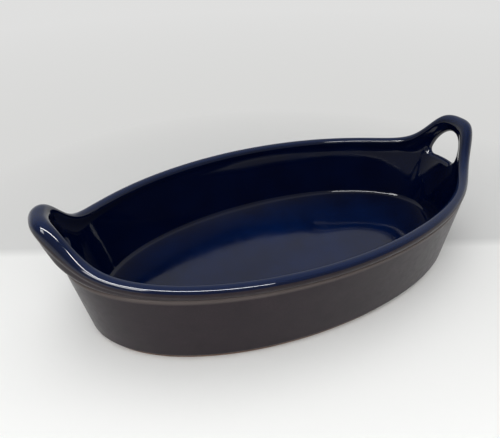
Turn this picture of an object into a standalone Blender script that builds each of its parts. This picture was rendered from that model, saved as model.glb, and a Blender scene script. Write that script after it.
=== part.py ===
"""Oval stoneware casserole dish with a raised loop handle at each end.

The fired clay, its unglazed foot and its two coats of glaze are separate solids.
Metres, +Z up, origin under the centre of the dish on the surface it stands on,
+X towards the right-hand handle.
"""
import math

import bmesh
import bpy
import numpy as np

MM = 0.001

# Plan of the rim, measured to the middle line of the rounded lip
RIM_HALF_LENGTH = 180.0 * MM
RIM_HALF_WIDTH = 100.0 * MM
RIM_EXPONENT = 1.97          # 2 is an ellipse, more is squarer
BASE_EXPONENT = 2.045

# Heights
RIM_HEIGHT = 76.5 * MM       # top of the lip between the handles
COLLAR_DEPTH = 11.0 * MM     # from there down to the ledge under the collar
FOOT_HEIGHT = 4.0 * MM

# How far the wall's base stands in, and its top out, from the lip's middle line
BASE_INSET_END = 4.2 * MM
BASE_INSET_SIDE = 5.3 * MM
LEDGE_OUT_END = 4.8 * MM
LEDGE_OUT_SIDE = 2.9 * MM
LEDGE_STEP = 1.5 * MM        # the narrow slope on top of the ledge

# Thicknesses and radii of the glazed surface
LIP_RADIUS = 4.7 * MM
GRIP_RADIUS = 6.9 * MM       # the lip where it becomes the handle's grip
WALL = 8.0 * MM              # at the ledge
BASE_THICKENING = 9.0 * MM   # how much thicker the wall is at the floor
FLOOR = 7.5 * MM             # in the middle
BASE_FILLET = 3.5 * MM

# The dished floor
DISH_RISE_END = 9.0 * MM     # how far it climbs to the wall at the ends
DISH_RISE_SIDE = 8.6 * MM    # and along the long sides
DISH_POWER_END = 1.95        # 2 is a round bowl, more is flatter in the middle
DISH_POWER_SIDE = 2.9
FLAT_SHARE = 0.12            # how much of the floor's width is truly flat, in the middle
BEND_REACH = 3.4 * MM        # from the corner of floor and wall to either end of its rounding

# Loop handles
HOLE_WIDTH = 34.0 * MM
HOLE_HEIGHT = 26.0 * MM
HOLE_LIFT = 6.5 * MM         # from the ledge up to the finger hole
HOLE_CORNER = 6.0 * MM
HOLE_ROUNDING = 3.6 * MM     # width of the hole's rounded edge
GRIP_HEIGHT = 14.8 * MM      # from the finger hole up to the handle's top
SHOULDER = 9.2 * MM          # from the finger hole out to half the handle's rise
SHOULDER_POWER = 3.8         # more makes a squarer shoulder
HANDLE_LEAN = 0.305          # outward run for each unit of rise
HANDLE_SWELL = 1.5 * MM      # how far a handle's outer face swells past straight
SHOULDER_SWELL = 1.2 * MM    # and how much further where the handle rises
HANDLE_TAIL = 25.0 * MM      # how far the handle's clay runs on past half its rise
HANDLE_ROOT = 1.8 * MM       # how far below the ledge the handle's clay starts

# Foot, coats and clearances
FOOT_WIDTH = 9.0 * MM
FOOT_CHAMFER = 0.8 * MM
GLAZE = 0.5 * MM
GAP = 0.3 * MM
SEAM_GAP = 0.9 * MM          # between the two glazes, along the lip

# Turns round the lip, from its outermost over its top
LIP_START = math.radians(-20.0)
GLAZE_SEAM = math.radians(20.0)
LIP_END = math.radians(190.0)

# The rounded edge of a finger hole: shares of HOLE_ROUNDING left, from the face inwards
EDGE_SHARES = (1.0, 0.45, 0.12)
BLUE_END = 0.3               # where the blue glaze stops on the outer side's edge

# Fineness of the mesh
PATCH_COLUMNS = 6            # from a handle's middle to the edge of its patch
TAIL_COLUMNS = 3
SIDE_COLUMNS = 8             # from a handle's tail to the middle of a long side
COLLAR_ROWS = 4
LIP_ROWS = 6
FLOOR_ROWS = 4               # from the bend at the wall's foot to the flat middle
FILLET_ROWS = 2
SLOPE_STEP = math.radians(0.2)
ARCH_SAMPLES = 181
SHARP_ANGLE = math.radians(40.0)
WELD = 0.001 * MM

# Worked out from the above
LEDGE_HEIGHT = RIM_HEIGHT - COLLAR_DEPTH
COLLAR_LOW = LEDGE_HEIGHT + LEDGE_STEP
HOLE_BOTTOM = LEDGE_HEIGHT + HOLE_LIFT
HOLE_MIDDLE = HOLE_BOTTOM + HOLE_HEIGHT / 2
HANDLE_RISE = HOLE_BOTTOM + HOLE_HEIGHT + GRIP_HEIGHT - RIM_HEIGHT
HALF_RISE_Y = HOLE_WIDTH / 2 + SHOULDER
PATCH_Y = HALF_RISE_Y + HOLE_ROUNDING
HANDLE_REACH = HALF_RISE_Y + HANDLE_TAIL
FLOOR_TOP = FOOT_HEIGHT + FLOOR
CLAY_COAT = GLAZE + GAP      # the clay lies this far under the glazed surface
NOTCH_MITRE = math.sqrt(2.0)                # a right-angled notch under a coat lies deeper
EDGE_MITRE = math.tan(math.radians(22.5))   # and the edge below it, half as sharp, lower

CLAY_COLOUR = (0.42, 0.31, 0.24, 1.0)
FOOT_COLOUR = (0.36, 0.24, 0.18, 1.0)
BLUE_COLOUR = (0.005, 0.013, 0.055, 1.0)
BROWN_COLOUR = (0.05, 0.042, 0.045, 1.0)


def signed_power(value, power):
    return math.copysign(abs(value) ** power, value)


def plan_point(angle, half_length, half_width, height):
    """The point at this angle of the oval with these half sizes."""
    share = min(max(height / RIM_HEIGHT, 0.0), 1.0)
    power = 2.0 / (BASE_EXPONENT + (RIM_EXPONENT - BASE_EXPONENT) * share)
    x = half_length * signed_power(math.cos(angle), power)
    y = half_width * signed_power(math.sin(angle), power)
    return np.array([x, y, height])


def rim_y(angle):
    return RIM_HALF_WIDTH * signed_power(math.sin(angle), 2.0 / RIM_EXPONENT)


def angle_of_y(y):
    """The angle near +X at which the rim passes this y."""
    return math.asin(signed_power(y / RIM_HALF_WIDTH, RIM_EXPONENT / 2.0))


def handle_share(y):
    """1 in the middle of a handle, falling off to 0 at the middle of a long side."""
    near = 1.0 / (1.0 + (abs(y) / HALF_RISE_Y) ** SHOULDER_POWER)
    far = 1.0 / (1.0 + (RIM_HALF_WIDTH / HALF_RISE_Y) ** SHOULDER_POWER)
    return (near - far) / (1.0 - far)


def lip_middle(angle):
    """The lip's middle line at this angle: its point, outward lean and radius."""
    share = handle_share(rim_y(angle))
    radius = LIP_RADIUS + (GRIP_RADIUS - LIP_RADIUS) * share
    lean = HANDLE_LEAN * HANDLE_RISE * share * math.cos(angle)
    point = plan_point(angle, RIM_HALF_LENGTH, RIM_HALF_WIDTH, RIM_HEIGHT + HANDLE_RISE * share - radius)
    point[0] += lean
    return point, lean, radius


def lip_stretch(angle):
    """How much taller than wide an upright section through the climbing lip is."""
    before = lip_middle(angle - SLOPE_STEP)[0]
    after = lip_middle(angle + SLOPE_STEP)[0]
    run = math.hypot(after[0] - before[0], after[1] - before[1])
    return math.hypot(1.0, (after[2] - before[2]) / run)


class Section:
    """The dish's upright section at one angle, coat below the glazed surface."""

    def __init__(self, angle, coat):
        self.angle = angle
        self.coat = coat
        middle, self.lean, radius = lip_middle(angle)
        self.lip_height = middle[2]
        self.lip_radius = radius - coat
        self.lip_tallness = self.lip_radius * lip_stretch(angle)

    def wall(self, height, out):
        """A point this far outward of the outer wall's line."""
        low = FOOT_HEIGHT + BASE_FILLET
        share = (height - low) / (LEDGE_HEIGHT - low)
        end = RIM_HALF_LENGTH - BASE_INSET_END + (BASE_INSET_END + LEDGE_OUT_END) * share
        side = RIM_HALF_WIDTH - BASE_INSET_SIDE + (BASE_INSET_SIDE + LEDGE_OUT_SIDE) * share
        return plan_point(self.angle, end + out, side + out, height)

    def inner_wall(self, height):
        """A point of the inner wall, which thickens towards the floor."""
        thicker = BASE_THICKENING * (COLLAR_LOW - height) / (COLLAR_LOW - FLOOR_TOP)
        return self.wall(height, self.coat - WALL - thicker)

    def floor(self, share):
        """A point of the dished floor: share 0 is its middle, 1 its corner with the wall."""
        sideways = math.sin(self.angle) ** 2
        rise = DISH_RISE_END + (DISH_RISE_SIDE - DISH_RISE_END) * sideways
        power = DISH_POWER_END + (DISH_POWER_SIDE - DISH_POWER_END) * sideways
        point = self.inner_wall(FLOOR_TOP + rise) * share
        point[2] = FLOOR_TOP - self.coat + rise * share ** power
        return point

    def lip(self, turn):
        """A point of the rounded lip, turned from its outermost over its top."""
        out = self.lip_radius * math.cos(turn)
        height = self.lip_height + self.lip_tallness * math.sin(turn)
        point = plan_point(self.angle, RIM_HALF_LENGTH + out, RIM_HALF_WIDTH + out, height)
        point[0] += self.lean
        return point

    def outer_collar(self, share):
        """From the ledge, share 0, up to the lip, share 1, swelling on a handle."""
        low = self.wall(COLLAR_LOW, -LEDGE_STEP - self.coat * NOTCH_MITRE)
        point = low + (self.lip(LIP_START) - low) * share
        handle = handle_share(rim_y(self.angle))
        swell = HANDLE_SWELL * handle + SHOULDER_SWELL * 4 * handle * (1 - handle)
        arched = 4 * share * (1 - share)
        return point + swell * arched * np.array([math.cos(self.angle), math.sin(self.angle), 0.0])

    def inner_collar(self, share):
        low = self.inner_wall(COLLAR_LOW)
        return low + (self.lip(LIP_END) - low) * share

    def collar(self, share, side):
        """Between the inner face, side -1, and the outer face, side +1."""
        inner = self.inner_collar(share)
        outer = self.outer_collar(share)
        return (inner + outer) / 2 + (outer - inner) / 2 * side

    def share_at(self, height):
        """How far up the collar its middle reaches this height."""
        top = self.collar(1.0, 0.0)[2]
        return (height - COLLAR_LOW) / (top - COLLAR_LOW)

    def outer_wall_rows(self):
        """From the foot up to the ledge."""
        radius = BASE_FILLET - self.coat
        centre = FOOT_HEIGHT + BASE_FILLET
        rows = []
        for step in range(FILLET_ROWS + 1):
            turn = math.pi / 2 * (1 - step / FILLET_ROWS)
            out = radius * math.cos(turn) - BASE_FILLET
            point = self.wall(centre, out)
            point[2] = centre - radius * math.sin(turn)
            rows.append(point)
        rows.append(self.wall((centre + LEDGE_HEIGHT) / 2, -self.coat))
        rows.append(self.wall(LEDGE_HEIGHT - self.coat * EDGE_MITRE, -self.coat))
        return rows

    def floor_rows(self):
        """Round the bend at the inner wall's foot and over the floor to its flat middle."""
        corner = self.floor(1.0)
        edge = 1.0 - BEND_REACH / math.hypot(corner[0], corner[1])
        above = self.inner_wall(corner[2] + BEND_REACH)
        below = self.floor(edge)
        rows = [above, (above + 2 * corner + below) / 4, below]
        rows += [self.floor(share) for share in np.linspace(edge, FLAT_SHARE, FLOOR_ROWS + 1)[1:]]
        rows[-1][2] = FLOOR_TOP - self.coat
        return rows


def column_angles():
    """Angles once round, closest together where the handles rise."""
    handle_ys = [PATCH_Y * i / PATCH_COLUMNS for i in range(PATCH_COLUMNS)]
    tail_step = (HANDLE_REACH - PATCH_Y) / TAIL_COLUMNS
    handle_ys += [PATCH_Y + tail_step * i for i in range(TAIL_COLUMNS)]
    quarter = [angle_of_y(y) for y in handle_ys]
    last = angle_of_y(HANDLE_REACH)
    side_step = (math.pi / 2 - last) / SIDE_COLUMNS
    quarter += [last + side_step * i for i in range(SIDE_COLUMNS)]
    half = quarter + [math.pi / 2] + [math.pi - angle for angle in reversed(quarter[1:])]
    return half + [math.pi + angle for angle in half]


def hole_radius(direction, grow):
    """From the finger hole's centre to its outline, which stands this far outward."""
    half_width = HOLE_WIDTH / 2 + grow
    half_height = HOLE_HEIGHT / 2 + grow
    corner = HOLE_CORNER + grow
    spring = corner - half_height
    folded = math.atan2(math.sin(direction), abs(math.cos(direction)))
    if folded < math.atan2(-half_height, half_width - corner):
        return -half_height / math.sin(folded)
    turns = np.linspace(-math.pi / 2, math.pi / 2, ARCH_SAMPLES)
    in_corner = turns < 0
    across = np.where(in_corner, half_width - corner + corner * np.cos(turns), half_width * np.cos(turns))
    up = spring + np.where(in_corner, corner, half_height - spring) * np.sin(turns)
    return float(np.interp(folded, np.arctan2(up, across), np.hypot(across, up)))


def edge_ring(left, side):
    """This share of HOLE_ROUNDING left, and how far out of the middle the edge is there."""
    return left, side * math.sqrt(1.0 - (1.0 - left) ** 2)


def edge_rings(side):
    """From the outer face, side +1, or the inner, side -1, in to the middle."""
    return [edge_ring(left, side) for left in EDGE_SHARES + (0.0,)]


class Lattice:
    """Quads over the columns once round the dish, with patches around finger holes."""

    def __init__(self, coat, rows_of):
        self.coat = coat
        self.angles = column_angles()
        self.columns = [rows_of(Section(angle, coat)) for angle in self.angles]
        self.row_count = len(self.columns[0])
        self.points = [point for column in self.columns for point in column]
        self.faces = []

    def index(self, column, row):
        return (column % len(self.angles)) * self.row_count + row

    def in_patch(self, column):
        half = len(self.angles) // 2
        offset = (column + PATCH_COLUMNS) % half
        return offset < 2 * PATCH_COLUMNS

    def add_quads(self, patch_rows):
        """Quads everywhere but on these rows of the two patches."""
        for column in range(len(self.angles)):
            for row in range(self.row_count - 1):
                if self.in_patch(column) and patch_rows(row):
                    continue
                self.faces.append((self.index(column, row), self.index(column + 1, row),
                                   self.index(column + 1, row + 1), self.index(column, row + 1)))

    def add_patches(self, first_row, last_row, shares, rings):
        """Rings of quads from the patch's border in to the finger hole."""
        for middle in (0, len(self.angles) // 2):
            left, right = middle - PATCH_COLUMNS, middle + PATCH_COLUMNS
            border = [(column, first_row) for column in range(left, right)]
            border += [(right, row) for row in range(first_row, last_row)]
            border += [(column, last_row) for column in range(right, left, -1)]
            border += [(left, row) for row in range(last_row, first_row, -1)]
            loop = [self.index(*place) for place in border]
            spots = [self.spot(column, shares[row - first_row]) for column, row in border]
            for left_over, side in rings:
                ring = [self.add_ring_point(spot, left_over, side, middle) for spot in spots]
                for here in range(len(loop)):
                    after = (here + 1) % len(loop)
                    self.faces.append((loop[here], loop[after], ring[after], ring[here]))
                loop = ring

    def spot(self, column, share):
        """Where a border point lies, across and up from the finger hole's centre."""
        angle = self.angles[column % len(self.angles)]
        middle = Section(angle, self.coat).collar(share, 0.0)
        return rim_y(angle), middle[2] - HOLE_MIDDLE

    def add_ring_point(self, spot, left_over, side, middle):
        direction = math.atan2(spot[1], spot[0])
        rounding = min(HOLE_ROUNDING, HOLE_LIFT - LEDGE_STEP - self.coat - GAP)
        radius = hole_radius(direction, self.coat + rounding * left_over)
        y = radius * math.cos(direction)
        height = HOLE_MIDDLE + radius * math.sin(direction)
        angle = angle_of_y(y) if middle == 0 else math.pi - angle_of_y(y)
        section = Section(angle, self.coat)
        self.points.append(section.collar(section.share_at(height), side))
        return len(self.points) - 1

    def add_floor(self):
        last = self.row_count - 1
        self.faces.append([self.index(column, last) for column in range(len(self.angles))])

    def add_underside(self):
        self.faces.append([self.index(column, 0) for column in reversed(range(len(self.angles)))])


def mesh_from(name, points, faces):
    """A smooth-shaded mesh of these faces, with points at one place welded."""
    mesh = bpy.data.meshes.new(name)
    mesh.from_pydata([tuple(point) for point in points], [], [tuple(face) for face in faces])
    shape = bmesh.new()
    shape.from_mesh(mesh)
    bmesh.ops.remove_doubles(shape, verts=shape.verts, dist=WELD)
    shape.to_mesh(mesh)
    shape.free()
    mesh.shade_smooth()
    mesh.set_sharp_from_angle(angle=SHARP_ANGLE)
    return mesh


def material(name, colour, roughness):
    made = bpy.data.materials.new(name)
    made.use_nodes = True
    shader = made.node_tree.nodes["Principled BSDF"]
    shader.inputs["Base Color"].default_value = colour
    shader.inputs["Roughness"].default_value = roughness
    shader.inputs["Metallic"].default_value = 0.0
    return made


def add_object(name, mesh, finish):
    piece = bpy.data.objects.new(name, mesh)
    bpy.context.collection.objects.link(piece)
    if finish:
        mesh.materials.clear()
        mesh.materials.append(finish)
    return piece


COLLAR_SHARES = [row / COLLAR_ROWS for row in range(COLLAR_ROWS + 1)]
CLAY_TURNS = np.linspace(LIP_START, LIP_END, LIP_ROWS + 1)
BLUE_TURNS = np.linspace(GLAZE_SEAM, LIP_END, LIP_ROWS + 1)


def rows_up(section, lip_turns):
    """From the foot up the outside and over the lip by these turns."""
    rows = section.outer_wall_rows()
    rows += [section.outer_collar(share) for share in COLLAR_SHARES[:-1]]
    return rows + [section.lip(turn) for turn in lip_turns]


def rows_down(section):
    """From under the lip down the inside to the floor's middle."""
    rows = [section.inner_collar(share) for share in COLLAR_SHARES[-2::-1]]
    return rows + section.floor_rows()


def outer_collar_rows():
    """The first and last row of the outer collar in rows_up."""
    low = len(Section(0.0, 0.0).outer_wall_rows())
    return low, low + COLLAR_ROWS


def clay_mesh():
    """The whole of the fired clay in one, with both finger holes through it."""
    def rows_of(section):
        return rows_up(section, CLAY_TURNS) + rows_down(section)

    clay = Lattice(CLAY_COAT, rows_of)
    outer_low, outer_high = outer_collar_rows()
    inner_high = outer_high + LIP_ROWS
    inner_low = inner_high + COLLAR_ROWS
    clay.add_quads(lambda row: outer_low <= row < outer_high or inner_high <= row < inner_low)
    clay.add_patches(outer_low, outer_high, COLLAR_SHARES, edge_rings(1))
    clay.add_patches(inner_high, inner_low, COLLAR_SHARES[::-1], edge_rings(-1))
    clay.add_floor()
    clay.add_underside()
    return mesh_from("clay", clay.points, clay.faces)


def blue_mesh():
    """The sheet of glaze over the lip, the handles' inner faces and the inside."""
    def rows_of(section):
        return [section.lip(turn) for turn in BLUE_TURNS] + rows_down(section)

    sheet = Lattice(0.0, rows_of)
    high, low = LIP_ROWS, LIP_ROWS + COLLAR_ROWS
    outer_edge = [edge_ring(EDGE_SHARES[-1], 1), edge_ring(BLUE_END, 1)]
    sheet.add_quads(lambda row: high <= row < low)
    sheet.add_patches(high, low, COLLAR_SHARES[::-1], edge_rings(-1) + outer_edge)
    sheet.add_floor()
    return mesh_from("interior_glaze", sheet.points, sheet.faces)


def brown_mesh():
    """The sheet of glaze on the outside, from the foot up to the side of the lip."""
    def rows_of(section):
        return rows_up(section, (LIP_START, 0.0, GLAZE_SEAM - SEAM_GAP / section.lip_radius))

    sheet = Lattice(0.0, rows_of)
    low, high = outer_collar_rows()
    sheet.add_quads(lambda row: low <= row < high)
    sheet.add_patches(low, high, COLLAR_SHARES, edge_rings(1)[:2])
    return mesh_from("exterior_glaze", sheet.points, sheet.faces)


def foot_mesh():
    """The bare ring that the dish stands on, set inside the edge of the brown glaze."""
    outer = -BASE_FILLET - GAP
    inner = outer - FOOT_WIDTH
    top = FOOT_HEIGHT + CLAY_COAT - GAP
    corners = [(inner, top), (inner, FOOT_CHAMFER), (inner + FOOT_CHAMFER, 0.0),
               (outer - FOOT_CHAMFER, 0.0), (outer, FOOT_CHAMFER), (outer, top)]
    points = []
    for angle in column_angles():
        section = Section(angle, 0.0)
        for out, height in corners:
            point = section.wall(FOOT_HEIGHT + BASE_FILLET, out)
            point[2] = height
            points.append(point)
    count = len(corners)
    faces = []
    for start in range(0, len(points), count):
        after = (start + count) % len(points)
        for corner in range(count):
            following = (corner + 1) % count
            faces.append((start + corner, after + corner, after + following, start + following))
    return mesh_from("foot_ring", points, faces)


def box_mesh(name, low, high):
    made = bmesh.new()
    bmesh.ops.create_cube(made, size=1.0)
    for vert in made.verts:
        for axis in range(3):
            vert.co[axis] = low[axis] if vert.co[axis] < 0 else high[axis]
    mesh = bpy.data.meshes.new(name)
    made.to_mesh(mesh)
    made.free()
    return mesh


def add_cutter(name, end, clearance):
    """The block of space that a handle's clay takes, grown by a clearance."""
    near = RIM_HALF_LENGTH / 2
    far = RIM_HALF_LENGTH + HANDLE_LEAN * HANDLE_RISE + 2 * GRIP_RADIUS
    # the sides lie half a column in from the tail's end, clear of the mesh's own lines
    reach = HANDLE_REACH - HANDLE_TAIL / TAIL_COLUMNS / 2 + clearance
    low = LEDGE_HEIGHT - HANDLE_ROOT - clearance
    high = RIM_HEIGHT + HANDLE_RISE + GRIP_RADIUS
    xs = sorted((end * near, end * far))
    mesh = box_mesh(name, (xs[0], -reach, low), (xs[1], reach, high))
    cutter = add_object(name, mesh, None)
    cutter.hide_render = True
    cutter.display_type = "WIRE"
    return cutter


def add_boolean(piece, operation, cutter):
    cut = piece.modifiers.new(cutter.name, "BOOLEAN")
    cut.operation = operation
    cut.solver = "EXACT"
    cut.object = cutter


def add_coat(name, mesh, finish):
    piece = add_object(name, mesh, finish)
    thicken = piece.modifiers.new("thickness", "SOLIDIFY")
    thicken.thickness = GLAZE
    thicken.offset = -1.0
    thicken.use_even_offset = True
    return piece


def build():
    for old in list(bpy.data.objects):
        bpy.data.objects.remove(old, do_unlink=True)
    clay_finish = material("fired_clay", CLAY_COLOUR, 0.85)
    clay = clay_mesh()
    body = add_object("dish_body", clay, clay_finish)
    for name, end in (("left_handle", -1), ("right_handle", 1)):
        add_boolean(body, "DIFFERENCE", add_cutter(name + "_seat", end, GAP))
        handle = add_object(name, clay.copy(), clay_finish)
        add_boolean(handle, "INTERSECT", add_cutter(name + "_block", end, 0.0))
    add_object("foot_ring", foot_mesh(), material("bare_foot", FOOT_COLOUR, 0.9))
    add_coat("interior_glaze", blue_mesh(), material("blue_glaze", BLUE_COLOUR, 0.06))
    add_coat("exterior_glaze", brown_mesh(), material("brown_glaze", BROWN_COLOUR, 0.42))


build()
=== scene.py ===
"""Looks of the oval stoneware casserole dish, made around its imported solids.

The glazes, the foot and the clay are made again as fine smooth surfaces in the solids' places.
Metres, +Z up, +X towards the right-hand handle, as in the frame.
"""

import math

import bmesh
import bpy
import numpy as np
from mathutils import Matrix, Vector


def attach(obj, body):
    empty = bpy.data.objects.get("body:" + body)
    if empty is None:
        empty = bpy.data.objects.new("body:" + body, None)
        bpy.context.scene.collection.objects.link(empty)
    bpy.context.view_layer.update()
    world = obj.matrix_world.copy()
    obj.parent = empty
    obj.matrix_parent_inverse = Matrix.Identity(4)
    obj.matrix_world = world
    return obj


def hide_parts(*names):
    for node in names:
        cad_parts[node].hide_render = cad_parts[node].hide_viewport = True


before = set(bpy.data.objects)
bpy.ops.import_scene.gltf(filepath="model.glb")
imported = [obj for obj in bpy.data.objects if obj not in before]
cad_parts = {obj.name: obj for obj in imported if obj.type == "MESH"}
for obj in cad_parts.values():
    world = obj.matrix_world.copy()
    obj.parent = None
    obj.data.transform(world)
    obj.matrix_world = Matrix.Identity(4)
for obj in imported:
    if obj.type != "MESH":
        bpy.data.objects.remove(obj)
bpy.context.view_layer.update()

MM = 0.001

# Driving dimensions of the dish, as in its solids
RIM_HALF_LENGTH = 180.0 * MM
RIM_HALF_WIDTH = 100.0 * MM
RIM_EXPONENT = 1.97
BASE_EXPONENT = 2.045
RIM_HEIGHT = 76.5 * MM
COLLAR_DEPTH = 11.0 * MM
FOOT_HEIGHT = 4.0 * MM
BASE_INSET_END = 4.2 * MM
BASE_INSET_SIDE = 5.3 * MM
LEDGE_OUT_END = 4.8 * MM
LEDGE_OUT_SIDE = 2.9 * MM
LEDGE_STEP = 1.5 * MM
LIP_RADIUS = 4.7 * MM
GRIP_RADIUS = 6.9 * MM
WALL = 8.0 * MM                     # at the ledge
FLOOR = 7.5 * MM
BASE_THICKENING = 9.0 * MM          # how much thicker the wall is at the floor than at the ledge
DISH_RISE_END = 9.0 * MM            # how far the floor climbs to the wall at the ends
DISH_RISE_SIDE = 8.6 * MM           # and along the long sides
DISH_POWER_END = 1.95               # 2 is a round bowl, more is flatter in the middle
DISH_POWER_SIDE = 2.9
BEND_REACH = 3.4 * MM               # from the corner of floor and wall to either end of its rounding
BASE_FILLET = 3.5 * MM
HOLE_WIDTH = 34.0 * MM
HOLE_HEIGHT = 26.0 * MM
HOLE_LIFT = 6.5 * MM
HOLE_CORNER = 6.0 * MM
HOLE_ROUNDING = 3.6 * MM
GRIP_HEIGHT = 14.8 * MM
SHOULDER = 9.2 * MM
SHOULDER_POWER = 3.8
HANDLE_LEAN = 0.305
HANDLE_SWELL = 1.5 * MM
SHOULDER_SWELL = 1.2 * MM
HANDLE_TAIL = 25.0 * MM
FOOT_WIDTH = 9.0 * MM
HANDLE_ROOT = 1.8 * MM
GLAZE = 0.5 * MM
GAP = 0.3 * MM

# What only the fine surface has
FACET_LOSS = 0.2 * MM               # the solids' facets end this far below the true top
CLAY_COAT = GLAZE + 0.08 * MM       # the fine clay lies close under its glaze
LEDGE_ROUNDING = 1.4 * MM
NOTCH_ROUNDING = 0.9 * MM           # down the slope from the notch towards the ledge
NOTCH_SHARE = 1.2                   # how many times that much slope the ledge's rounding leaves
NOTCH_RISE = 0.5 * MM               # where the collar's own rows start, above the notch
NOTCH_CLEAR = 0.05 * MM             # from the notch's rounding to the first of them
FOOT_ROUNDING = 0.9 * MM
LIP_START = math.radians(-20.0)     # turns round the lip, from its outermost over its top
LIP_END = math.radians(190.0)
SEAM_LEFT = math.radians(12.0)      # where the glazes meet on the lip, at the left end
SEAM_RIGHT = math.radians(27.0)     # and at the right end
SEAM_SHIFT = math.radians(29.0)     # how far round from the ends those two places lie
SEAM_WANDER = math.radians(1.2)
SEAM_WAVES = ((5, 1.0, 1.0), (11, 2.0, 0.6), (23, 0.0, 0.4))     # waves once round, start, size
HOLE_SEAM = math.radians(37.0)      # where the glazes meet on a finger hole's rounded edge

# Fineness
PATCH_COLUMNS = 26
TAIL_COLUMNS = 14
SIDE_COLUMNS = 52
COLLAR_ROWS = 18
PATCH_RINGS = 9
FILLET_STEPS = 8
WALL_STEPS = 10
LEDGE_STEPS = 6
BROWN_LIP_STEPS = 9                 # round the lip, from the collar to the seam
BLUE_LIP_STEPS = 33                 # and from the seam over to the inside
CLAY_LIP_STEPS = 20
BROWN_HOLE_STEPS = 4                # round a finger hole's edge
BLUE_HOLE_STEPS = (9, 6)            # from the inside, and on to the seam
CLAY_HOLE_STEPS = 6
CLAY_FINENESS = 0.5                 # share of the glazes' columns
BEND_STEPS = 16
BEND_FULLNESS = 1.15                # how far the bend's curve keeps to the wall and the floor
FLOOR_RINGS = 32
FOOT_STEPS = 6
SLOPE_STEP = math.radians(0.2)
ARCH_SAMPLES = 721
SHARP_ANGLE = math.radians(50.0)
WELD = 0.002 * MM
TINY = 1e-6

# Worked out from the above
LEDGE_HEIGHT = RIM_HEIGHT - COLLAR_DEPTH
COLLAR_LOW = LEDGE_HEIGHT + LEDGE_STEP
HOLE_BOTTOM = LEDGE_HEIGHT + HOLE_LIFT
HOLE_MIDDLE = HOLE_BOTTOM + HOLE_HEIGHT / 2
HANDLE_RISE = HOLE_BOTTOM + HOLE_HEIGHT + GRIP_HEIGHT - FACET_LOSS - RIM_HEIGHT
HALF_RISE_Y = HOLE_WIDTH / 2 + SHOULDER
PATCH_Y = HALF_RISE_Y + HOLE_ROUNDING
HANDLE_REACH = HALF_RISE_Y + HANDLE_TAIL
FLOOR_TOP = FOOT_HEIGHT + FLOOR
WALL_LOW = FOOT_HEIGHT + BASE_FILLET

# Colours, linear
DEEP_NAVY = (0.00005, 0.0010, 0.010)
NAVY = (0.0001, 0.0028, 0.021)
# partly glaze pooling, partly painted light from above: the floor's paler, bluer tone
POOLED_AND_LIT_BLUE = (0.0001, 0.0095, 0.058)
# painted light: the paler blue that the lip's upward faces take
LIT_LIP_BLUE = (0.0018, 0.0095, 0.046)
DARK_TAUPE = (0.0090, 0.0045, 0.0080)
TAUPE = (0.0130, 0.0062, 0.0110)
PALE_TAUPE = (0.021, 0.012, 0.017)
PAINTED_RIDGE_HIGHLIGHT = (0.092, 0.074, 0.070)     # painted highlight: a paler band along the ledge, where light catches its rounded top
FOOT_DARK = (0.14, 0.072, 0.045)
FOOT_PALE = (0.24, 0.14, 0.095)
CLAY_DARK = (0.34, 0.23, 0.16)
CLAY_PALE = (0.44, 0.32, 0.24)
CLAY_GRAIN = (0.06, 0.04, 0.03)
TABLE_BRIGHT = (0.98, 0.98, 0.965)      # nearest the camera, paler by painted light
TABLE_PALE = (0.88, 0.88, 0.865)        # up to the soft line
TABLE_SHADE = (0.68, 0.68, 0.67)        # from there on, painted shade
TABLE_FAR = (0.74, 0.74, 0.735)

# The surfaces' clouds: their size, their detail, and where their noise counts as low and as high
CLOUDS = (34.0 * MM, 4.0, 0.2, 0.8)         # the blue's tones
GLOSS = (9.0 * MM, 3.0, 0.3, 0.7)           # and how glossy it is
MOTTLE = (14.0 * MM, 5.0, 0.32, 0.68)       # the taupe's tones
GRAIN = (1.1 * MM, 3.0, 0.35, 0.65)
SATIN = (5.0 * MM, 4.0, 0.3, 0.7)           # and how glossy it is
TOAST = (20.0 * MM, 4.0, 0.3, 0.7)          # the bare clay's tones
SPECKS = (0.8 * MM, 1.0, 0.66, 0.74)

# The surfaces' dents: their size, detail and depth
WAVES = (60.0 * MM, 1.0, 0.35 * MM)
PEEL = (2.2 * MM, 2.0, 0.002 * MM)
TOOTH = (0.9 * MM, 3.0, 0.008 * MM)
SAND = (0.6 * MM, 3.0, 0.12 * MM)

# Where the glazes take painted light: on the lip's upward faces, and as a painted highlight along the
# ledge
LIT_LIP_FACING = (0.2, 0.9)             # how far up the blue faces where it takes the lip's painted light
RIDGE_HIGHLIGHT_FADE = 2.4 * MM               # how far down from the ledge the painted highlight fades out

# How rough the surfaces are, and how strongly the dull ones mirror
BLUE_ROUGHNESS = (0.045, 0.085)
BROWN_ROUGHNESS = (0.28, 0.36)
CLAY_ROUGHNESS = 0.9
TABLE_ROUGHNESS = 0.8
BROWN_SPECULAR = 0.23
TABLE_SPECULAR = 0.1

# Table, lamps and room
TABLE_REACH = 3.0
TABLE_FRONT = -0.22                     # distances ahead, past the dish's middle
TABLE_LINE = 0.0275
TABLE_BLUR = 0.007                      # half width of the soft line
TABLE_FADE = (0.3, 1.4)                 # how far out the table fades to its far tone
TABLE_PLAIN = (0.24, 0.42)              # how far out the shadows end, and the table only looks plain
LAMP_TARGET = Vector((0.0, 0.0, 0.06))
ROOM_COLOUR = (0.98, 0.99, 1.0)
ROOM_LOW = 0.74                         # how bright the room is near the horizon
ROOM_BACK = 0.52                        # above that, behind the dish
ROOM_FRONT = 0.22                       # on the camera's side
ROOM_TOP = 0.40                         # and overhead
ROOM_TURN = 0.35                        # half width of the change from front to back
BAND_BACK = (0.06, 0.2)                 # how high the pale band near the horizon ends
BAND_FRONT = (0.02, 0.09)
OVERHEAD = (0.75, 0.97)

# The camera that the dish's outlines fit
CAMERA_PLACE = Vector((-0.16695, -0.30293, 0.27876))
CAMERA_YAW = math.radians(24.056)
CAMERA_PITCH = math.radians(33.304)
CAMERA_ROLL = math.radians(-1.314)
CAMERA_LENS = 33.24
SENSOR_WIDTH = 36.0


def signed_power(value, power):
    return np.copysign(np.abs(value) ** power, value)


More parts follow.
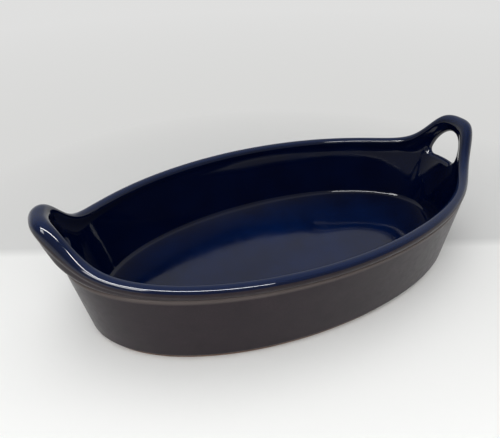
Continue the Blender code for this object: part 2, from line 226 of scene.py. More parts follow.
def plan_points(angle, half_length, half_width, height):
    """Points at these angles of the oval with these half sizes."""
    share = np.clip(height / RIM_HEIGHT, 0.0, 1.0)
    power = 2.0 / (BASE_EXPONENT + (RIM_EXPONENT - BASE_EXPONENT) * share)
    x = half_length * signed_power(np.cos(angle), power)
    y = half_width * signed_power(np.sin(angle), power)
    return np.stack([x, y, height + np.zeros_like(x)], axis=-1)


def rim_y(angle):
    return RIM_HALF_WIDTH * signed_power(np.sin(angle), 2.0 / RIM_EXPONENT)


def angle_of_y(y):
    """The angle near +X at which the rim passes this y."""
    return np.arcsin(signed_power(y / RIM_HALF_WIDTH, RIM_EXPONENT / 2.0))


def handle_share(y):
    """1 in the middle of a handle, falling off to 0 at the middle of a long side."""
    near = 1.0 / (1.0 + (np.abs(y) / HALF_RISE_Y) ** SHOULDER_POWER)
    far = 1.0 / (1.0 + (RIM_HALF_WIDTH / HALF_RISE_Y) ** SHOULDER_POWER)
    return (near - far) / (1.0 - far)


def lip_line(angle):
    """The lip's middle line: its points, outward lean and radius."""
    share = handle_share(rim_y(angle))
    radius = LIP_RADIUS + (GRIP_RADIUS - LIP_RADIUS) * share
    lean = HANDLE_LEAN * HANDLE_RISE * share * np.cos(angle)
    points = plan_points(angle, RIM_HALF_LENGTH, RIM_HALF_WIDTH, RIM_HEIGHT + HANDLE_RISE * share - radius)
    points[..., 0] += lean
    return points, lean, radius


def length_of(vectors):
    return np.linalg.norm(vectors, axis=-1, keepdims=True)


def hermite(start, start_slope, end, end_slope, share):
    """A smooth curve between two points with these slopes at its ends."""
    square, cube = share ** 2, share ** 3
    return (start * (2 * cube - 3 * square + 1) + start_slope * (cube - 2 * square + share)
            + end * (3 * square - 2 * cube) + end_slope * (cube - square))


def rounded(before, corner, after, reach_before, reach_after, steps):
    """Points round a corner, from this far before it to this far after it."""
    start = corner + (before - corner) / length_of(before - corner) * reach_before
    end = corner + (after - corner) / length_of(after - corner) * reach_after
    shares = np.linspace(0.0, 1.0, steps + 1)
    return [start * (1 - s) ** 2 + corner * 2 * s * (1 - s) + end * s ** 2 for s in shares]


class Sections:
    """Upright sections through the dish at these angles, one row of points at a time."""

    def __init__(self, angle):
        self.angle = angle
        self.share = handle_share(rim_y(angle))
        middle, self.lean, self.radius = lip_line(angle)
        self.lip_height = middle[..., 2]
        before = lip_line(angle - SLOPE_STEP)[0]
        after = lip_line(angle + SLOPE_STEP)[0]
        run = np.hypot(after[..., 0] - before[..., 0], after[..., 1] - before[..., 1])
        self.tallness = self.radius * np.hypot(1.0, (after[..., 2] - before[..., 2]) / run)

    def wall(self, height, out):
        """Points this far outward of the outer wall's line."""
        share = (height - WALL_LOW) / (LEDGE_HEIGHT - WALL_LOW)
        end = RIM_HALF_LENGTH - BASE_INSET_END + (BASE_INSET_END + LEDGE_OUT_END) * share
        side = RIM_HALF_WIDTH - BASE_INSET_SIDE + (BASE_INSET_SIDE + LEDGE_OUT_SIDE) * share
        return plan_points(self.angle, end + out, side + out, height)

    def inner_wall(self, height):
        thicker = BASE_THICKENING * (COLLAR_LOW - height) / (COLLAR_LOW - FLOOR_TOP)
        return self.wall(height, -WALL - thicker)

    def lip(self, turn):
        """Points of the rounded lip, turned from its outermost over its top."""
        out = self.radius * np.cos(turn)
        height = self.lip_height + self.tallness * np.sin(turn)
        points = plan_points(self.angle, RIM_HALF_LENGTH + out, RIM_HALF_WIDTH + out, height)
        points[..., 0] += self.lean
        return points

    def lip_slope(self, turn):
        ahead = self.lip(turn + SLOPE_STEP) - self.lip(turn)
        return ahead / length_of(ahead)

    def outer_collar(self, share):
        """From the ledge, share 0, up to the lip, share 1, swelling on a handle."""
        low = self.wall(COLLAR_LOW, -LEDGE_STEP)
        high = self.lip(LIP_START)
        across = length_of(high - low)
        outward = np.stack([np.cos(self.angle), np.sin(self.angle), np.zeros_like(self.angle)], axis=-1)
        handle = self.share[..., None]
        start = (high - low) / across + outward * (1 - handle) ** 4
        start = start / length_of(start) * across
        share = share[..., None]
        swell = HANDLE_SWELL * handle + SHOULDER_SWELL * 4 * handle * (1 - handle)
        swell = swell * 16 * (share * (1 - share)) ** 2
        curve = hermite(low, start, high, self.lip_slope(LIP_START) * across, share)
        return curve + outward * swell

    def inner_collar(self, share):
        low = self.inner_wall(COLLAR_LOW)
        under = self.inner_wall(FLOOR_TOP + max(DISH_RISE_END, DISH_RISE_SIDE) + BEND_REACH)
        high = self.lip(LIP_END)
        across = length_of(high - low)
        start = (low - under) / length_of(low - under) * across
        return hermite(low, start, high, -self.lip_slope(LIP_END) * across, share[..., None])

    def dished_floor(self, share):
        """Points of the floor, share 0 in its middle and share 1 where its line meets the wall's."""
        sideways = np.sin(self.angle) ** 2
        rise = DISH_RISE_END + (DISH_RISE_SIDE - DISH_RISE_END) * sideways
        power = DISH_POWER_END + (DISH_POWER_SIDE - DISH_POWER_END) * sideways
        points = self.inner_wall(FLOOR_TOP + rise) * np.reshape(share, (-1, 1))
        points[..., 2] = FLOOR_TOP + rise * share ** power
        return points

    def floor_ring(self, share):
        """Points of the floor from its middle, share 0, out to the bend, share 1."""
        corner = self.dished_floor(1.0)
        size = np.hypot(corner[..., 0], corner[..., 1])
        return self.dished_floor((1.0 - BEND_REACH / size) * share)

    def bend(self, share):
        """From the inner wall, share 0, round onto the floor, share 1."""
        corner = self.dished_floor(1.0)
        above = self.inner_wall(corner[..., 2] + BEND_REACH)
        below = self.floor_ring(1.0)
        further = self.floor_ring(1.0 - TINY)
        across = length_of(below - above)
        start_slope = (corner - above) / length_of(corner - above) * across * BEND_FULLNESS
        end_slope = (further - below) / length_of(further - below) * across * BEND_FULLNESS
        return hermite(above, start_slope, below, end_slope, share)

    def collar(self, share, side):
        """Between the inner face, side -1, and the outer face, side +1."""
        inner, outer = self.inner_collar(share), self.outer_collar(share)
        return (inner + outer) / 2 + (outer - inner) / 2 * side

    def collar_top(self):
        return (self.lip(LIP_START)[..., 2] + self.lip(LIP_END)[..., 2]) / 2

    def share_at(self, height):
        return (height - COLLAR_LOW) / (self.collar_top() - COLLAR_LOW)

    def height_at(self, share):
        return COLLAR_LOW + (self.collar_top() - COLLAR_LOW) * share


def column_angles(fineness):
    """Angles once round, closest together where the handles rise, and a patch's half width."""
    patch, tail, side = (round(count * fineness) for count in (PATCH_COLUMNS, TAIL_COLUMNS, SIDE_COLUMNS))
    handle_ys = [PATCH_Y * i / patch for i in range(patch)]
    handle_ys += [PATCH_Y + (HANDLE_REACH - PATCH_Y) / tail * i for i in range(tail)]
    quarter = [float(angle_of_y(y)) for y in handle_ys]
    last = float(angle_of_y(HANDLE_REACH))
    quarter += [last + (math.pi / 2 - last) / side * i for i in range(side)]
    half = quarter + [math.pi / 2] + [math.pi - angle for angle in reversed(quarter[1:])]
    return np.array(half + [math.pi + angle for angle in half]), patch


def outline_spots(direction, grow):
    """Points of the finger hole's outline, which stands this far outward, from its centre."""
    half_width = HOLE_WIDTH / 2 + grow
    half_height = HOLE_HEIGHT / 2 + grow
    corner = HOLE_CORNER + grow
    spring = corner - half_height
    folded = np.arctan2(np.sin(direction), np.abs(np.cos(direction)))
    turns = np.linspace(-math.pi / 2, math.pi / 2, ARCH_SAMPLES)
    in_corner = turns < 0
    across = np.where(in_corner, half_width - corner + corner * np.cos(turns), half_width * np.cos(turns))
    up = spring + np.where(in_corner, corner, half_height - spring) * np.sin(turns)
    curved = np.interp(folded, np.arctan2(up, across), np.hypot(across, up))
    below = np.minimum(np.sin(folded), -TINY)
    radius = np.where(folded < math.atan2(-half_height, half_width - corner), -half_height / below, curved)
    return np.stack([radius * np.cos(direction), radius * np.sin(direction)], axis=-1)


def seam_turn(angle):
    """Where the two glazes meet, round the lip's section."""
    blend = (1 + np.cos(angle + SEAM_SHIFT)) / 2
    wander = sum(size * np.sin(waves * angle + start) for waves, start, size in SEAM_WAVES)
    return SEAM_LEFT + (SEAM_RIGHT - SEAM_LEFT) * blend + SEAM_WANDER * wander


class Sheet:
    """A surface over the columns once round the dish, with patches around the finger holes."""

    def __init__(self, fineness):
        self.angles, self.patch = column_angles(fineness)
        self.dish = Sections(self.angles)
        self.rows = []
        self.patches = []
        self.loose = []
        self.faces = []

    def add_base_edge(self):
        """Rows round the wall's bottom edge, from under it."""
        for turn in np.linspace(math.pi / 2, 0.0, FILLET_STEPS + 1):
            points = self.dish.wall(WALL_LOW, BASE_FILLET * (math.cos(turn) - 1))
            points[:, 2] = WALL_LOW - BASE_FILLET * math.sin(turn)
            self.rows.append(points)

    def add_outer_wall(self):
        """Rows up the outer wall and over the rounded ledge into the notch above it."""
        top = LEDGE_HEIGHT - LEDGE_ROUNDING
        for share in np.linspace(0.0, 1.0, WALL_STEPS + 1)[1:-1]:
            self.rows.append(self.dish.wall(WALL_LOW + (top - WALL_LOW) * share, 0.0))
        below = self.dish.wall(top, 0.0)
        ledge = self.dish.wall(LEDGE_HEIGHT, 0.0)
        notch = self.dish.wall(COLLAR_LOW, -LEDGE_STEP)
        above = self.dish.outer_collar(self.dish.share_at(COLLAR_LOW + NOTCH_RISE))
        slope = length_of(notch - ledge) - NOTCH_SHARE * NOTCH_ROUNDING
        self.rows += rounded(below, ledge, notch, LEDGE_ROUNDING, slope, LEDGE_STEPS)
        climb = NOTCH_RISE - NOTCH_CLEAR
        self.rows += rounded(ledge, notch, above, NOTCH_ROUNDING, climb, LEDGE_STEPS)

    def add_collar(self, side, edge):
        """Rows of a collar face, up on the outside and down on the inside, with its patches."""
        shares = np.linspace(self.dish.share_at(COLLAR_LOW + NOTCH_RISE), 1.0, COLLAR_ROWS + 1)
        if side > 0:
            first = len(self.rows)
            self.rows += [self.dish.outer_collar(share) for share in shares]
        else:
            first = len(self.rows) - 1
            shares = shares[::-1]
            self.rows += [self.dish.inner_collar(share) for share in shares[1:]]
        self.patches.append((first, len(self.rows) - 1, shares, side, edge))

    def add_lip(self, first, last, steps):
        """Rows round the lip between two turns, which may differ from column to column."""
        for share in np.linspace(0.0, 1.0, steps + 1)[1:]:
            self.rows.append(self.dish.lip(first + (last - first) * share))

    def add_inner_wall(self):
        """Rows down the inner wall and round the bend at its foot onto the floor."""
        top = self.rows[-1]
        bottom = self.dish.bend(0.0)
        for share in np.linspace(0.0, 1.0, WALL_STEPS + 1)[1:-1]:
            self.rows.append(top + (bottom - top) * share)
        for share in np.linspace(0.0, 1.0, BEND_STEPS + 1):
            self.rows.append(self.dish.bend(share))

    def index(self, column, row):
        return (column % len(self.angles)) * len(self.rows) + row

    def add_points(self, points):
        """Loose points after the columns' own; their numbers."""
        start = len(self.angles) * len(self.rows) + sum(len(some) for some in self.loose)
        self.loose.append(points)
        return list(range(start, start + len(points)))

    def join(self, loop, ring):
        for here in range(len(loop)):
            after = (here + 1) % len(loop)
            self.faces.append((loop[here], loop[after], ring[after], ring[here]))
        return ring

    def fill_columns(self):
        """Quads between neighbouring columns, but for the patches' places."""
        half = len(self.angles) // 2
        taken = {row for first, last, *_ in self.patches for row in range(first, last)}
        for column in range(len(self.angles)):
            in_patch = (column + self.patch) % half < 2 * self.patch
            for row in range(len(self.rows) - 1):
                if not (in_patch and row in taken):
                    self.faces.append((self.index(column, row), self.index(column + 1, row),
                                       self.index(column + 1, row + 1), self.index(column, row + 1)))

    def fill_patches(self):
        """Rings of quads from each patch's border, over the face and round the hole's edge."""
        rounding = min(HOLE_ROUNDING, HOLE_LIFT - LEDGE_STEP - GAP)
        for first, last, shares, side, edge in self.patches:
            for middle in (0, len(self.angles) // 2):
                left, right = middle - self.patch, middle + self.patch
                border = [(column, first) for column in range(left, right)]
                border += [(right, row) for row in range(first, last)]
                border += [(column, last) for column in range(right, left, -1)]
                border += [(left, row) for row in range(last, first, -1)]
                loop = [self.index(column, row) for column, row in border]
                at = Sections(self.angles[[column % len(self.angles) for column, row in border]])
                share = np.array([shares[row - first][column % len(self.angles)]
                                  for column, row in border])
                spot = np.stack([rim_y(at.angle), at.height_at(share) - HOLE_MIDDLE], axis=-1)
                direction = np.arctan2(spot[:, 1], spot[:, 0])
                target = outline_spots(direction, rounding)
                for ring in range(1, PATCH_RINGS + 1):
                    between = spot + (target - spot) * ring / PATCH_RINGS
                    loop = self.join(loop, self.web_points(between, side, middle))
                for left_over, ring_side in edge:
                    outline = outline_spots(direction, rounding * left_over)
                    loop = self.join(loop, self.web_points(outline, ring_side, middle))

    def web_points(self, spots, side, middle):
        """Points of a handle's web at these places across and up from its finger hole."""
        angle = angle_of_y(spots[:, 0])
        at = Sections(angle if middle == 0 else math.pi - angle)
        return self.add_points(at.collar(at.share_at(spots[:, 1] + HOLE_MIDDLE), side))

    def fill_disc(self, row, rings, ring_at):
        """Rings of quads from a row in to its middle, facing up from the last row."""
        order = range(len(self.angles)) if row else range(len(self.angles) - 1, -1, -1)
        loop = [self.index(column, row) for column in order]
        for ring in range(1, rings):
            points = ring_at(1 - ring / rings)
            loop = self.join(loop, self.add_points(points[list(order)]))
        middle, = self.add_points(ring_at(0.0)[:1])
        for here in range(len(loop)):
            self.faces.append((loop[here], loop[(here + 1) % len(loop)], middle))

    def underside(self, share):
        return self.rows[0] * (share, share, 1.0)

    def mesh(self, name):
        """The finished mesh, with points that meet welded."""
        points = np.concatenate([np.stack(self.rows, axis=1).reshape(-1, 3)] + self.loose)
        mesh = bpy.data.meshes.new(name)
        mesh.from_pydata(points.tolist(), [], self.faces)
        weld(mesh)
        return mesh


def edge_turns(first, last, steps, side):
    """The rounded edge of a finger hole between two turns: what is left of it, and its side."""
    turns = np.linspace(first, last, steps + 1)[1:]
    return [(1 - math.sin(turn), side * math.cos(turn)) for turn in turns]


def weld(mesh):
    """Join the points of a mesh that meet."""
    shape = bmesh.new()
    shape.from_mesh(mesh)
    bmesh.ops.remove_doubles(shape, verts=shape.verts, dist=WELD)
    shape.to_mesh(mesh)
    shape.free()


def apply_modifiers(piece):
    """The piece with its modifiers worked into its mesh."""
    bpy.context.view_layer.update()
    evaluated = piece.evaluated_get(bpy.context.evaluated_depsgraph_get())
    solid = bpy.data.meshes.new_from_object(evaluated)
    piece.modifiers.clear()
    piece.data = solid
    solid.shade_smooth()
    solid.set_sharp_from_angle(angle=SHARP_ANGLE)


def add_piece(name, mesh):
    piece = bpy.data.objects.new(name, mesh)
    bpy.context.scene.collection.objects.link(piece)
    return piece


def add_coat(name, mesh):
    """A coat of glaze, thickened inwards from its surface."""
    piece = add_piece(name, mesh)
    thicken = piece.modifiers.new("thickness", "SOLIDIFY")
    thicken.thickness = GLAZE
    thicken.offset = -1.0
    thicken.use_even_offset = True
    apply_modifiers(piece)
    return piece


def brown_surface():
    """The satin glaze from under the bottom edge up to the seam on the lip."""
    sheet = Sheet(1.0)
    sheet.add_base_edge()
    sheet.add_outer_wall()
    sheet.add_collar(1, edge_turns(0.0, HOLE_SEAM, BROWN_HOLE_STEPS, 1))
    sheet.add_lip(LIP_START, seam_turn(sheet.angles), BROWN_LIP_STEPS)
    sheet.fill_columns()
    sheet.fill_patches()
    return add_coat("brown_glaze_coat", sheet.mesh("brown_glaze_coat"))


def blue_surface():
    """The glossy glaze from the seam over the lip, through the finger holes and down inside."""
    sheet = Sheet(1.0)
    seam = seam_turn(sheet.angles)
    sheet.rows.append(sheet.dish.lip(seam))
    sheet.add_lip(seam, LIP_END, BLUE_LIP_STEPS)
    inside, outside = BLUE_HOLE_STEPS
    edge = edge_turns(0.0, math.pi / 2, inside, -1)
    sheet.add_collar(-1, edge + edge_turns(math.pi / 2, HOLE_SEAM, outside, 1))
    sheet.add_inner_wall()
    sheet.fill_columns()
    sheet.fill_patches()
    sheet.fill_disc(len(sheet.rows) - 1, FLOOR_RINGS, sheet.dish.floor_ring)
    return add_coat("blue_glaze_coat", sheet.mesh("blue_glaze_coat"))


def clay_mesh():
    """The fired clay in one, drawn in from the glazed surface."""
    sheet = Sheet(CLAY_FINENESS)
    sheet.add_base_edge()
    sheet.add_outer_wall()
    sheet.add_collar(1, edge_turns(0.0, math.pi / 2, CLAY_HOLE_STEPS, 1))
    sheet.add_lip(LIP_START, LIP_END, CLAY_LIP_STEPS)
    sheet.add_collar(-1, edge_turns(0.0, math.pi / 2, CLAY_HOLE_STEPS, -1))
    sheet.add_inner_wall()
    sheet.fill_columns()
    sheet.fill_patches()
    sheet.fill_disc(0, FLOOR_RINGS // 3, sheet.underside)
    sheet.fill_disc(len(sheet.rows) - 1, FLOOR_RINGS // 2, sheet.dish.floor_ring)
    clay = add_piece("clay", sheet.mesh("clay"))
    draw_in = clay.modifiers.new("draw_in", "DISPLACE")
    draw_in.direction = "NORMAL"
    draw_in.mid_level = 0.0
    draw_in.strength = -CLAY_COAT
    apply_modifiers(clay)
    mesh = clay.data
    bpy.data.objects.remove(clay)
    return mesh


def handle_block(end, clearance):
    """The block of space that a handle's clay takes, grown by a clearance."""
    near = RIM_HALF_LENGTH / 2
    far = RIM_HALF_LENGTH + HANDLE_LEAN * HANDLE_RISE + 2 * GRIP_RADIUS
    reach = HANDLE_REACH - HANDLE_TAIL / 6 + clearance
    low = LEDGE_HEIGHT - HANDLE_ROOT - clearance
    high = RIM_HEIGHT + HANDLE_RISE + GRIP_RADIUS
    made = bmesh.new()
    bmesh.ops.create_cube(made, size=1.0)
    for vert in made.verts:
        vert.co.x = end * (near if vert.co.x < 0 else far)
        vert.co.y = math.copysign(reach, vert.co.y)
        vert.co.z = low if vert.co.z < 0 else high
    bmesh.ops.recalc_face_normals(made, faces=made.faces)
    mesh = bpy.data.meshes.new("handle_block")
    made.to_mesh(mesh)
    made.free()
    return add_piece("handle_block", mesh)


def cut_clay(name, clay, operation, ends, clearance):
    """A piece of the clay: a handle, or the body with both handles' places cut away."""
    piece = add_piece(name, clay.copy())
    blocks = [handle_block(end, clearance) for end in ends]
    for block in blocks:
        cut = piece.modifiers.new("cut", "BOOLEAN")
        cut.operation = operation
        cut.solver = "MANIFOLD"
        cut.object = block
    apply_modifiers(piece)
    weld(piece.data)
    for block in blocks:
        bpy.data.objects.remove(block)
    return piece


def mirrored(name, piece):
    """The piece's mirror image at the dish's other end."""
    mesh = piece.data.copy()
    mesh.transform(Matrix.Scale(-1.0, 4, (1.0, 0.0, 0.0)))
    mesh.flip_normals()
    return add_piece(name, mesh)


def foot_surface():
    """The bare ring that the dish stands on, with rounded edges."""
    outer = -BASE_FILLET - GAP
    inner = outer - FOOT_WIDTH
    top = FOOT_HEIGHT + GLAZE
    quarter = np.linspace(0.0, math.pi / 2, FOOT_STEPS + 1)
    corners = [(outer, top)]
    corners += [(outer - FOOT_ROUNDING * (1 - math.cos(turn)), FOOT_ROUNDING * (1 - math.sin(turn)))
                for turn in quarter]
    corners += [(inner + FOOT_ROUNDING * (1 - math.cos(turn)), FOOT_ROUNDING * (1 - math.sin(turn)))
                for turn in quarter[::-1]]
    corners += [(inner, top)]
    sheet = Sheet(1.0)
    for out, height in corners:
        points = sheet.dish.wall(WALL_LOW, out)
        points[:, 2] = height
        sheet.rows.append(points)
    sheet.rows = sheet.rows[::-1]
    sheet.rows.append(sheet.rows[0])
    sheet.fill_columns()
    piece = add_piece("bare_foot_ring", sheet.mesh("bare_foot_ring"))
    apply_modifiers(piece)
    return piece


class Finish:
    """A material in the making: nodes are added one at a time and lead to its shader."""

    MIX_COLOURS = (6, 7)            # a mixing node's sockets for colours, and for its result
    MIX_RESULT = 2

    def __init__(self, name, roughness):
        self.material = bpy.data.materials.new(name)
        self.material.use_nodes = True
        self.nodes = self.material.node_tree.nodes
        self.links = self.material.node_tree.links
        self.shader = self.nodes["Principled BSDF"]
        self.shader.inputs["Roughness"].default_value = roughness
        self.place = self.nodes.new("ShaderNodeTexCoord").outputs["Object"]

    def noise(self, size, detail):
        """Cloudy values from 0 to 1 whose clouds have about this size."""
        node = self.nodes.new("ShaderNodeTexNoise")
        node.inputs["Scale"].default_value = 1.0 / size
        node.inputs["Detail"].default_value = detail
        self.links.new(self.place, node.inputs["Vector"])
        return node.outputs["Fac"]

    def clouds(self, size, detail, low, high, first=0.0, last=1.0):
        """Noise between low and high, drawn out to between first and last."""
        return self.spread(self.noise(size, detail), low, high, first, last)

    def height(self):
        node = self.nodes.new("ShaderNodeSeparateXYZ")
        self.links.new(self.place, node.inputs[0])
        return node.outputs["Z"]

    def upward(self):
        """1 where the surface faces up, -1 where it faces down."""
        node = self.nodes.new("ShaderNodeSeparateXYZ")
        self.links.new(self.nodes.new("ShaderNodeTexCoord").outputs["Normal"], node.inputs[0])
        return node.outputs["Z"]

    def spread(self, value, low, high, first=0.0, last=1.0):
        """The value between low and high, drawn out to between first and last."""
        node = self.nodes.new("ShaderNodeMapRange")
        for name, number in zip(("From Min", "From Max", "To Min", "To Max"), (low, high, first, last)):
            node.inputs[name].default_value = number
        self.links.new(value, node.inputs["Value"])
        return node.outputs["Result"]

    def mix(self, share, first, second):
        """A colour between two others, each given as numbers or as a node's output."""
        node = self.nodes.new("ShaderNodeMix")
        node.data_type = "RGBA"
        self.links.new(share, node.inputs["Factor"])
        for socket, colour in zip(self.MIX_COLOURS, (first, second)):
            if isinstance(colour, tuple):
                node.inputs[socket].default_value = (*colour, 1.0)
            else:
                self.links.new(colour, node.inputs[socket])
        return node.outputs[self.MIX_RESULT]

    def combine(self, operation, first, second):
        """Two outputs added or multiplied, and kept between 0 and 1."""
        node = self.nodes.new("ShaderNodeMath")
        node.operation = operation
        node.use_clamp = True
        self.links.new(first, node.inputs[0])
        self.links.new(second, node.inputs[1])
        return node.outputs["Value"]

    def sum(self, first, second):
        return self.combine("ADD", first, second)

    def product(self, first, second):
        return self.combine("MULTIPLY", first, second)

    def colour(self, output):
        self.links.new(output, self.shader.inputs["Base Color"])

    def roughness(self, output):
        self.links.new(output, self.shader.inputs["Roughness"])

    def bump(self, *layers):
        """Dents of these sizes, details and depths, one layer over the other."""
        below = None
        for size, detail, depth in layers:
            node = self.nodes.new("ShaderNodeBump")
            node.inputs["Distance"].default_value = depth
            self.links.new(self.noise(size, detail), node.inputs["Height"])
            if below:
                self.links.new(below, node.inputs["Normal"])
            below = node.outputs["Normal"]
        self.links.new(below, self.shader.inputs["Normal"])


def blue_glaze():
    """Glossy deep navy glaze with a wavy surface; painted light pales the lip's top, and the floor, which
    pooling glaze also makes bluer.
    """
    finish = Finish("blue_glaze", sum(BLUE_ROUGHNESS) / 2)
    cloudy = finish.clouds(*CLOUDS)
    # painted light: the lip's upward faces take a paler blue
    lit_lip = finish.product(finish.spread(finish.height(), LEDGE_HEIGHT, RIM_HEIGHT),
                            finish.spread(finish.upward(), *LIT_LIP_FACING))
    coat = finish.mix(lit_lip, finish.mix(cloudy, DEEP_NAVY, NAVY), LIT_LIP_BLUE)
    # partly glaze pooling, partly painted light from above: the floor takes a paler, bluer tone than the
    # walls
    pooled_and_lit = finish.spread(finish.height(), FLOOR_TOP + DISH_RISE_END, FLOOR_TOP)
    finish.colour(finish.mix(pooled_and_lit, coat, finish.mix(cloudy, NAVY, POOLED_AND_LIT_BLUE)))
    finish.roughness(finish.clouds(*GLOSS, *BLUE_ROUGHNESS))
    finish.bump(WAVES, PEEL)
    return finish.material


def brown_glaze():
    """Satin taupe glaze, mottled, with a painted highlight along the ledge and a fine dry tooth."""
    finish = Finish("brown_glaze", sum(BROWN_ROUGHNESS) / 2)
    finish.shader.inputs["Specular IOR Level"].default_value = BROWN_SPECULAR
    mottle = finish.clouds(*MOTTLE)
    between = finish.mix(mottle, DARK_TAUPE, TAUPE)
    coat = finish.mix(finish.clouds(*GRAIN), between, finish.mix(mottle, TAUPE, PALE_TAUPE))
    height = finish.height()
    # painted highlight: a paler taupe band from a little below the ledge up to the notch
    above = finish.spread(height, LEDGE_HEIGHT - RIDGE_HIGHLIGHT_FADE, LEDGE_HEIGHT)
    below = finish.spread(height, COLLAR_LOW + NOTCH_RISE, COLLAR_LOW - NOTCH_RISE)
    finish.colour(finish.mix(finish.product(above, below), coat, PAINTED_RIDGE_HIGHLIGHT))
    finish.roughness(finish.clouds(*SATIN, *BROWN_ROUGHNESS))
    finish.bump(WAVES, TOOTH)
    return finish.material


def bare_clay(name, dark, pale):
    """Matt fired clay with a sandy surface and scattered dark grains."""
    finish = Finish(name, CLAY_ROUGHNESS)
    toasted = finish.mix(finish.clouds(*TOAST), dark, pale)
    finish.colour(finish.mix(finish.clouds(*SPECKS), toasted, CLAY_GRAIN))
    finish.bump(SAND)
    return finish.material


def add_camera():
    flat = Vector((math.sin(CAMERA_YAW), math.cos(CAMERA_YAW), 0.0))
    ahead = flat * math.cos(CAMERA_PITCH) + Vector((0.0, 0.0, -math.sin(CAMERA_PITCH)))
    right = Vector((math.cos(CAMERA_YAW), -math.sin(CAMERA_YAW), 0.0))
    up = right.cross(ahead)
    rolled_right = right * math.cos(CAMERA_ROLL) + up * math.sin(CAMERA_ROLL)
    rolled_up = up * math.cos(CAMERA_ROLL) - right * math.sin(CAMERA_ROLL)
    camera = bpy.data.objects.new("camera", bpy.data.cameras.new("camera"))
    bpy.context.scene.collection.objects.link(camera)
    place = Matrix((rolled_right, rolled_up, -ahead)).transposed().to_4x4()
    place.translation = CAMERA_PLACE
    camera.matrix_world = place
    camera.data.lens = CAMERA_LENS
    camera.data.sensor_width = SENSOR_WIDTH
    bpy.context.scene.camera = camera


def add_table():
    """The pale table: paler towards the camera by painted light, darker beyond a soft line across the view
    by painted shade, and plain further out.
    """
    mesh = bpy.data.meshes.new("table")
    corners = [(-TABLE_REACH, -TABLE_REACH, 0), (TABLE_REACH, -TABLE_REACH, 0),
               (TABLE_REACH, TABLE_REACH, 0), (-TABLE_REACH, TABLE_REACH, 0)]
    mesh.from_pydata(corners, [], [(0, 1, 2, 3)])
    table = add_piece("table", mesh)
    finish = Finish("table", TABLE_ROUGHNESS)
    finish.shader.inputs["Specular IOR Level"].default_value = TABLE_SPECULAR
    turn = finish.nodes.new("ShaderNodeMapping")
    turn.inputs["Rotation"].default_value = (0.0, 0.0, CAMERA_YAW)
    finish.links.new(finish.place, turn.inputs["Vector"])
    split = finish.nodes.new("ShaderNodeSeparateXYZ")
    finish.links.new(turn.outputs["Vector"], split.inputs[0])
    ahead = split.outputs["Y"]
    # painted light and shade: paler towards the camera up to the soft line, a little darker beyond it
    near = finish.mix(finish.spread(ahead, TABLE_FRONT, TABLE_LINE), TABLE_BRIGHT, TABLE_PALE)
    beyond = finish.spread(ahead, TABLE_LINE - TABLE_BLUR, TABLE_LINE + TABLE_BLUR)
    away = finish.nodes.new("ShaderNodeVectorMath")
    away.operation = "LENGTH"
    finish.links.new(finish.place, away.inputs[0])
    far = finish.spread(away.outputs["Value"], *TABLE_FADE)
    tone = finish.mix(far, finish.mix(beyond, near, TABLE_SHADE), TABLE_FAR)
    finish.colour(tone)
    paths = finish.nodes.new("ShaderNodeLightPath")
    seen = finish.sum(paths.outputs["Is Camera Ray"], paths.outputs["Is Glossy Ray"])
    seen = finish.sum(seen, paths.outputs["Is Transmission Ray"])
    plain = finish.product(finish.spread(away.outputs["Value"], *TABLE_PLAIN), seen)
    glow = finish.nodes.new("ShaderNodeEmission")
    finish.links.new(tone, glow.inputs["Color"])
    choice = finish.nodes.new("ShaderNodeMixShader")
    finish.links.new(plain, choice.inputs["Fac"])
    finish.links.new(finish.shader.outputs["BSDF"], choice.inputs[1])
    finish.links.new(glow.outputs["Emission"], choice.inputs[2])
    finish.links.new(choice.outputs["Shader"], finish.nodes["Material Output"].inputs["Surface"])
    mesh.materials.append(finish.material)


def towards(azimuth, elevation):
    """The direction at this bearing from +Y towards +X, and this height, in degrees."""
    bearing, height = math.radians(azimuth), math.radians(elevation)
    level = math.cos(height)
    return Vector((math.sin(bearing) * level, math.cos(bearing) * level, math.sin(height)))


def add_lamp(name, azimuth, elevation, distance, length, width, radiance, mirrored=True, lights=True):
    """A rectangular softbox, long side level, that faces the dish.

    It can be mirrored in glossy surfaces, light the dull ones, or both.
    """
    lamp = bpy.data.objects.new(name, bpy.data.lights.new(name, "AREA"))
    bpy.context.scene.collection.objects.link(lamp)
    lamp.data.shape = "RECTANGLE"
    lamp.data.size = length
    lamp.data.size_y = width
    lamp.data.energy = radiance * math.pi * length * width
    ahead = towards(azimuth, elevation)
    lamp.location = LAMP_TARGET + ahead * distance
    lamp.rotation_euler = (-ahead).to_track_quat("-Z", "Y").to_euler()
    lamp.visible_camera = False
    lamp.visible_glossy = mirrored
    lamp.visible_diffuse = lights


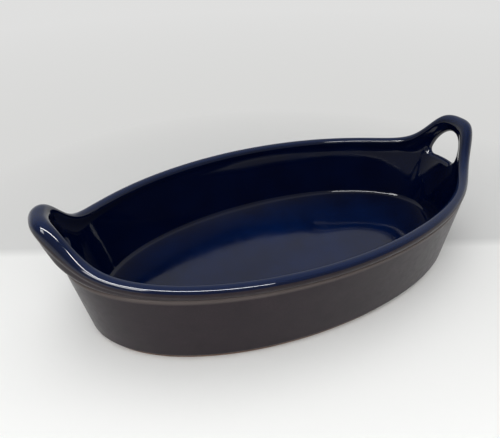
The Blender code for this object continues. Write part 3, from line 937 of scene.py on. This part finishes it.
def add_world():
    """A plain room, pale near the horizon and dimmer above it, most on the camera's side.

    Heights and distances ahead are those of a direction one long.
    """
    world = bpy.data.worlds.new("room")
    bpy.context.scene.world = world
    world.use_nodes = True
    nodes, links = world.node_tree.nodes, world.node_tree.links
    turn = nodes.new("ShaderNodeMapping")
    turn.inputs["Rotation"].default_value = (0.0, 0.0, CAMERA_YAW)
    links.new(nodes.new("ShaderNodeTexCoord").outputs["Generated"], turn.inputs["Vector"])
    split = nodes.new("ShaderNodeSeparateXYZ")
    links.new(turn.outputs["Vector"], split.inputs[0])

    def step(axis, low, high, first, last):
        """From one brightness to another along an axis; each is a number or a node's output."""
        node = nodes.new("ShaderNodeMapRange")
        node.inputs["From Min"].default_value = low
        node.inputs["From Max"].default_value = high
        for name, bright in (("To Min", first), ("To Max", last)):
            if isinstance(bright, float):
                node.inputs[name].default_value = bright
            else:
                links.new(bright, node.inputs[name])
        links.new(split.outputs[axis], node.inputs["Value"])
        return node.outputs["Result"]

    sides = step("Y", -ROOM_TURN, ROOM_TURN, ROOM_FRONT, ROOM_BACK)
    above = step("Z", *OVERHEAD, sides, ROOM_TOP)
    front = step("Z", *BAND_FRONT, ROOM_LOW, ROOM_FRONT)
    below = step("Y", -ROOM_TURN, ROOM_TURN, front, ROOM_LOW)
    links.new(step("Z", *BAND_BACK, below, above), nodes["Background"].inputs["Strength"])
    nodes["Background"].inputs["Color"].default_value = (*ROOM_COLOUR, 1.0)


bpy.context.scene.view_settings.view_transform = "Standard"
brown = brown_surface()
blue = blue_surface()
foot = foot_surface()
clay = clay_mesh()
body = cut_clay("stoneware_body", clay, "DIFFERENCE", (-1, 1), GAP)
right = cut_clay("right_handle_clay", clay, "INTERSECT", (1,), 0.0)
left = mirrored("left_handle_clay", right)
clay_finish = bare_clay("fired_clay", CLAY_DARK, CLAY_PALE)
pieces = (
    (brown, "exterior_glaze", "brown_glaze", brown_glaze()),
    (blue, "interior_glaze", "blue_glaze", blue_glaze()),
    (foot, "foot_ring", "bare_foot", bare_clay("bare_foot", FOOT_DARK, FOOT_PALE)),
    (body, "dish_body", "fired_clay", clay_finish),
    (left, "left_handle", "fired_clay", clay_finish),
    (right, "right_handle", "fired_clay", clay_finish),
)
for piece, node, slot, finish in pieces:
    piece.data.materials.clear()
    piece.data.materials.append(finish)
    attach(piece, "root")
    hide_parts(node)
add_camera()
add_table()
add_lamp("key_bar", azimuth=-145, elevation=50, distance=1.15,
         length=1.15, width=0.08, radiance=38.0, lights=False)
add_lamp("side_window", azimuth=-118, elevation=32, distance=1.2,
         length=0.26, width=0.32, radiance=9.0, lights=False)
add_lamp("front_fill", azimuth=-150, elevation=48, distance=1.3,
         length=1.5, width=0.9, radiance=2.6, mirrored=False)
add_lamp("top_fill", azimuth=24, elevation=84, distance=1.5,
         length=1.2, width=1.2, radiance=1.5, mirrored=False)
add_world()
